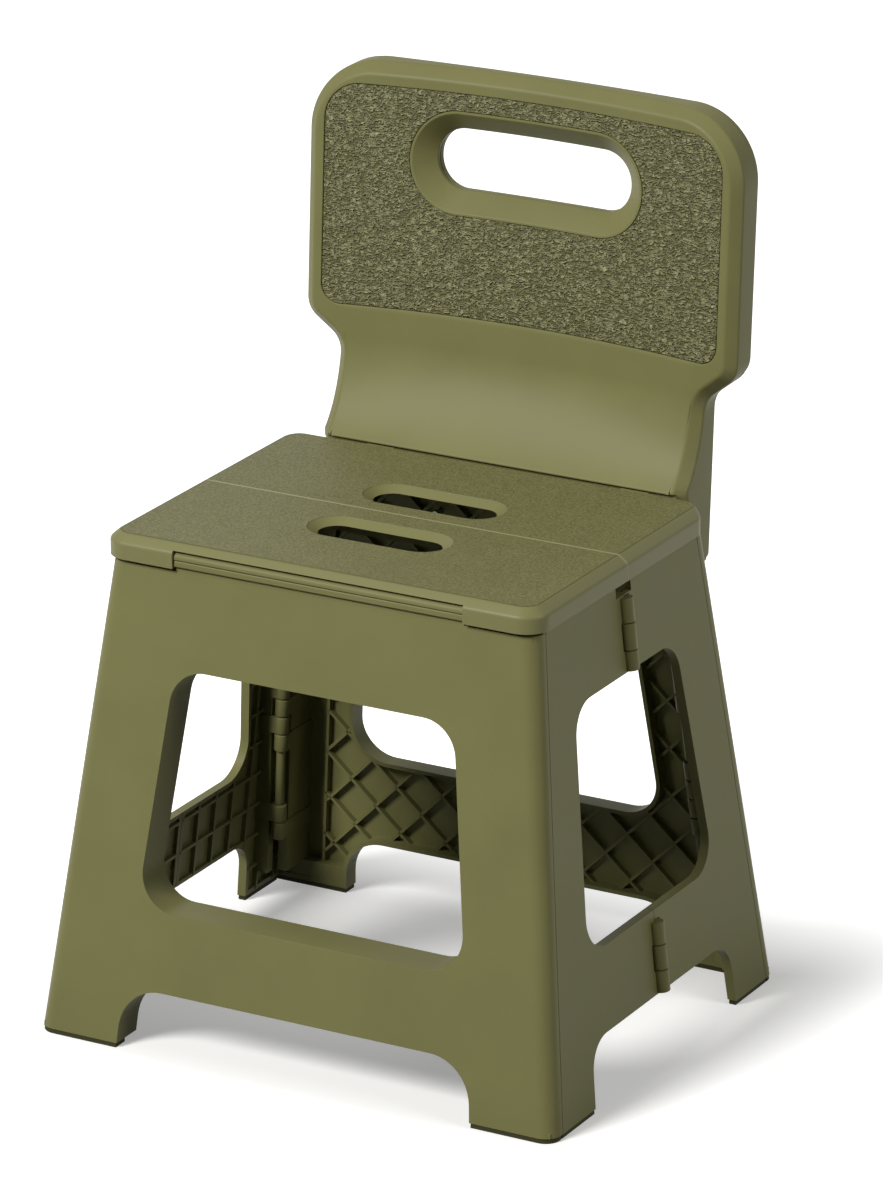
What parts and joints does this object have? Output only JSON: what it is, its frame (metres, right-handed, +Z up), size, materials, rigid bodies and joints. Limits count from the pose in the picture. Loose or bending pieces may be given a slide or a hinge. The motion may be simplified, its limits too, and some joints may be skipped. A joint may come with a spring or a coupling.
{
  "type": "folding step stool chair",
  "caption": "Folding moulded plastic step stool with a backrest: splayed panels with windows, side panels that fold inwards, and a hinged seat in two halves.",
  "frame": {"origin": "on the floor, at the middle of the overall footprint of the open stool", "axes": "+X to the right of a person who faces the front of the stool, +Y to the backrest, +Z up"},
  "size_m": [0.3386, 0.3008, 0.5212],
  "materials": {
    "olive_plastic": "injection moulded polypropylene, fine grain, satin",
    "pad_plastic": "moulded skin with a leather grain, matte",
    "rubber_soles": "matte moulded rubber",
    "steel_pins": "drawn wire and plated screws"
  },
  "bodies": {
    "back_frame": {"back_panel": "olive_plastic", "backrest_front_shell": "olive_plastic", "backrest_rear_shell": "olive_plastic", "backrest_pad": "pad_plastic", "panel_foot_back_left": "rubber_soles", "panel_foot_back_right": "rubber_soles", "seat_pin_back_left": "steel_pins", "seat_pin_back_right": "steel_pins", "corner_pin_back_left": "steel_pins", "corner_pin_back_right": "steel_pins", "shell_screw_1": "steel_pins", "shell_screw_2": "steel_pins", "shell_screw_3": "steel_pins", "shell_screw_4": "steel_pins", "shell_screw_5": "steel_pins", "shell_screw_6": "steel_pins", "mount_screw_1": "steel_pins", "mount_screw_2": "steel_pins", "mount_screw_3": "steel_pins", "mount_screw_4": "steel_pins"},
    "seat_back": {"seat_back_half": "olive_plastic", "seat_pin_centre_left": "steel_pins", "seat_pin_centre_right": "steel_pins"},
    "front_frame": {"front_panel": "olive_plastic", "panel_foot_front_left": "rubber_soles", "panel_foot_front_right": "rubber_soles", "seat_pin_front_left": "steel_pins", "seat_pin_front_right": "steel_pins", "corner_pin_front_left": "steel_pins", "corner_pin_front_right": "steel_pins"},
    "seat_front": {"seat_front_half": "olive_plastic"},
    "side_back_left": {"side_panel_back_left": "olive_plastic", "side_foot_back_left": "rubber_soles", "middle_pin_upper_left": "steel_pins", "middle_pin_lower_left": "steel_pins"},
    "side_front_left": {"side_panel_front_left": "olive_plastic", "side_foot_front_left": "rubber_soles"},
    "side_back_right": {"side_panel_back_right": "olive_plastic", "side_foot_back_right": "rubber_soles", "middle_pin_upper_right": "steel_pins", "middle_pin_lower_right": "steel_pins"},
    "side_front_right": {"side_panel_front_right": "olive_plastic", "side_foot_front_right": "rubber_soles"}
  },
  "joints": [
    {"name": "seat_back_fold", "type": "hinge", "parent": "back_frame", "child": "seat_back", "pos_m": [0, 0.08677, 0.2915], "axis": [-1, 0, 0], "range_deg": [0, 72]},
    {"name": "side_back_right_fold", "type": "hinge", "parent": "back_frame", "child": "side_back_right", "pos_m": [0.1228, 0.06527, 0.2832], "axis": [0.0946, 0.0931, -0.9911], "range_deg": [0, 89.7]},
    {"name": "side_front_right_fold", "type": "hinge", "parent": "side_back_right", "child": "side_front_right", "pos_m": [0.1373, -0.01123, 0.2832], "axis": [-0.1125, 0, 0.9936], "range_deg": [0, 178.48]},
    {"name": "side_back_left_fold", "type": "hinge", "parent": "back_frame", "child": "side_back_left", "pos_m": [-0.1228, 0.06527, 0.2832], "axis": [0.0946, -0.0931, 0.9911], "range_deg": [0, 89.7]},
    {"name": "side_front_left_fold", "type": "hinge", "parent": "side_back_left", "child": "side_front_left", "pos_m": [-0.1373, -0.01123, 0.2832], "axis": [-0.1125, 0, -0.9936], "range_deg": [0, 178.48]},
    {"name": "front_frame_fold", "type": "hinge", "parent": "side_front_left", "child": "front_frame", "pos_m": [-0.1228, -0.08773, 0.2832], "axis": [0.0946, 0.0931, 0.9911], "range_deg": [0, 89.76]},
    {"name": "seat_front_fold", "type": "hinge", "parent": "front_frame", "child": "seat_front", "pos_m": [0, -0.11373, 0.2915], "axis": [1, 0, 0], "range_deg": [0, 67.15]}
  ],
  "couplings": [
    {"joint": "side_back_right_fold", "follows": "seat_back_fold", "ratio": 1.2459},
    {"joint": "side_front_right_fold", "follows": "seat_back_fold", "ratio": 2.4789},
    {"joint": "side_back_left_fold", "follows": "seat_back_fold", "ratio": 1.2459},
    {"joint": "side_front_left_fold", "follows": "seat_back_fold", "ratio": 2.4789},
    {"joint": "front_frame_fold", "follows": "seat_back_fold", "ratio": 1.2467},
    {"joint": "seat_front_fold", "follows": "seat_back_fold", "ratio": 0.93257}
  ]
}
